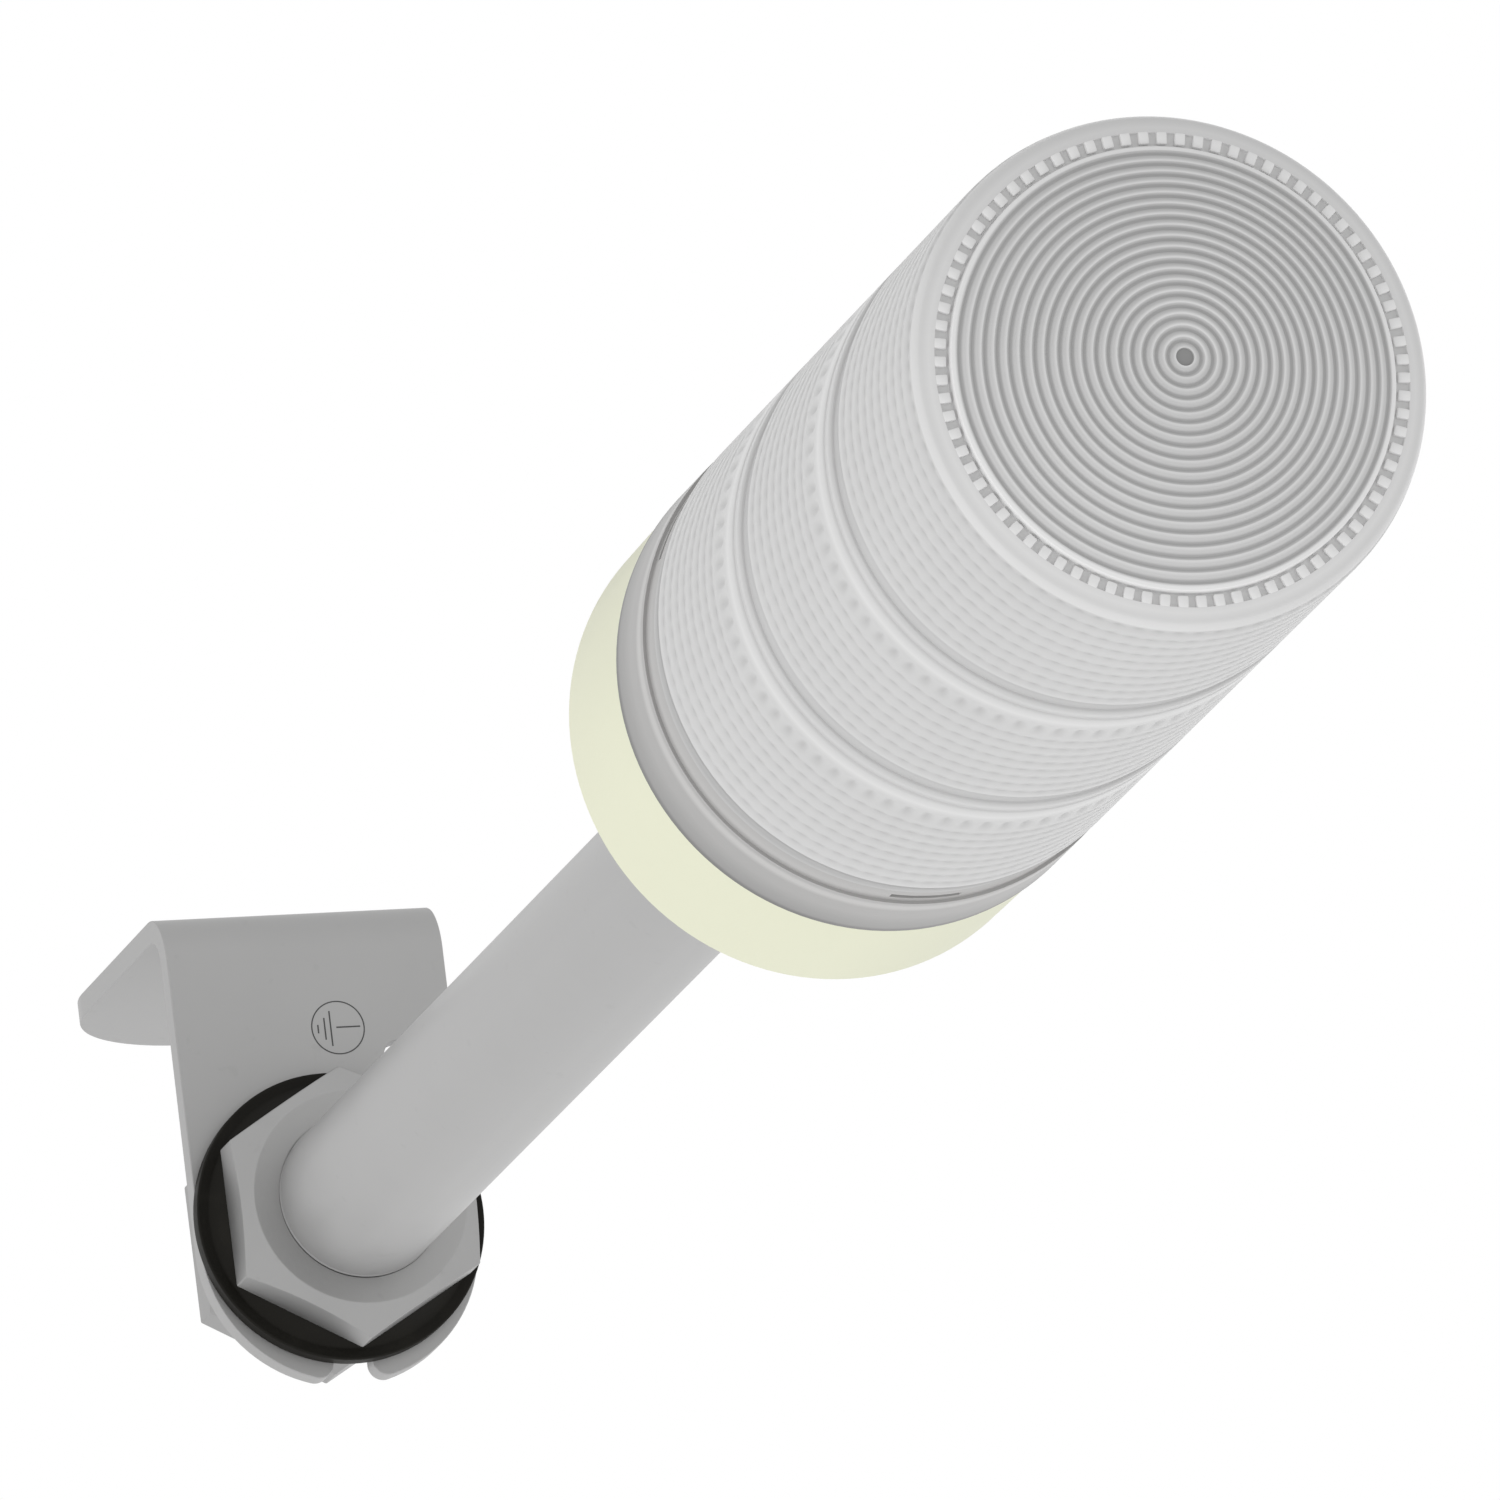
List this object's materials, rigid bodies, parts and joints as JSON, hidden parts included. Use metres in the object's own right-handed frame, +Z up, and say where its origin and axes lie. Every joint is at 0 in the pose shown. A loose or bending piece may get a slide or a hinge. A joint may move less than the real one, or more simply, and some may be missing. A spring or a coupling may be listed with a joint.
{
  "type": "stack light",
  "caption": "Signal tower of stacked clear ribbed lens tiers on a cream base and a steel tube, clamped by two hexagon nuts to an L-shaped wall bracket.",
  "frame": {"origin": "midway between the two fixing holes, in the plane of the wall", "axes": "+Z up the tube, +Y into the wall, so the tower stands in front of the wall towards -Y"},
  "size_m": [0.0648, 0.0756, 0.4686],
  "materials": {
    "black_plastic": "black moulded plastic",
    "black_rubber": "black moulded rubber",
    "bracket_steel": "bright zinc plating, softly worn",
    "brass": "turned brass",
    "circuit_board": "white solder mask",
    "clear_lens": "clear moulded lens with fine ribs",
    "cream_plastic": "cream moulded plastic",
    "frosted_ring": "frosted clear plastic",
    "lamp": "light-emitting diode",
    "nut_steel": "bright plated hexagon nuts and washers",
    "tube_steel": "satin plated tube",
    "white_plastic": "white moulded carrier"
  },
  "bodies": {
    "root": {"base_housing": "cream_plastic", "cable_bush": "black_plastic", "carrier_foot": "white_plastic", "flat_washer": "nut_steel", "led_boards_bottom": "circuit_board", "led_boards_middle": "circuit_board", "led_boards_top": "circuit_board", "led_carrier_bottom": "white_plastic", "led_carrier_middle": "white_plastic", "led_carrier_top": "white_plastic", "leds_bottom": "lamp", "leds_middle": "lamp", "leds_top": "lamp", "lens_bottom": "clear_lens", "lens_middle": "clear_lens", "lens_top": "clear_lens", "lock_washer": "nut_steel", "lower_nut": "nut_steel", "lower_seal": "black_rubber", "middle_seal": "black_rubber", "pole": "tube_steel", "pole_screw": "nut_steel", "rod_nuts": "brass", "rubber_washer": "black_rubber", "spacer_ring": "frosted_ring", "terminal_block": "black_plastic", "terminal_board": "circuit_board", "tie_rods": "nut_steel", "upper_nut": "nut_steel", "upper_seal": "black_rubber", "wall_bracket": "bracket_steel"}
  },
  "joints": []
}
